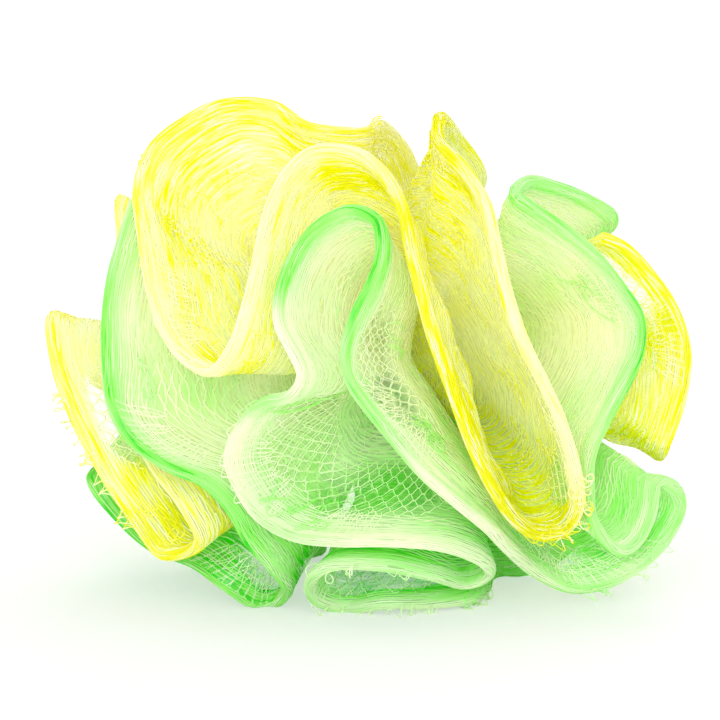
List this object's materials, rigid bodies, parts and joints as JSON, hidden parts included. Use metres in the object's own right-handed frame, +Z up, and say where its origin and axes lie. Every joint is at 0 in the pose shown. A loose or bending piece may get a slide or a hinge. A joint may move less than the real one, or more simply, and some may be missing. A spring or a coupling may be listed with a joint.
{
  "type": "bath sponge",
  "caption": "Soft mesh bath sponge: yellow and green tubular netting ruffled into a ball round a tied centre, for lathering soap.",
  "frame": {"origin": "centre of the footprint of the whole ball, on the surface it rests on", "axes": "+X along the longest extent, to the right as seen from the front; +Z up, the shortest extent; the front faces -Y"},
  "size_m": [0.1284, 0.1102, 0.099],
  "materials": {
    "yellow_netting": "translucent netting",
    "green_netting": "translucent netting",
    "white_cord": "matte"
  },
  "bodies": {
    "root": {"yellow_netting": "yellow_netting", "green_netting": "green_netting", "centre_tie": "white_cord"}
  },
  "joints": []
}
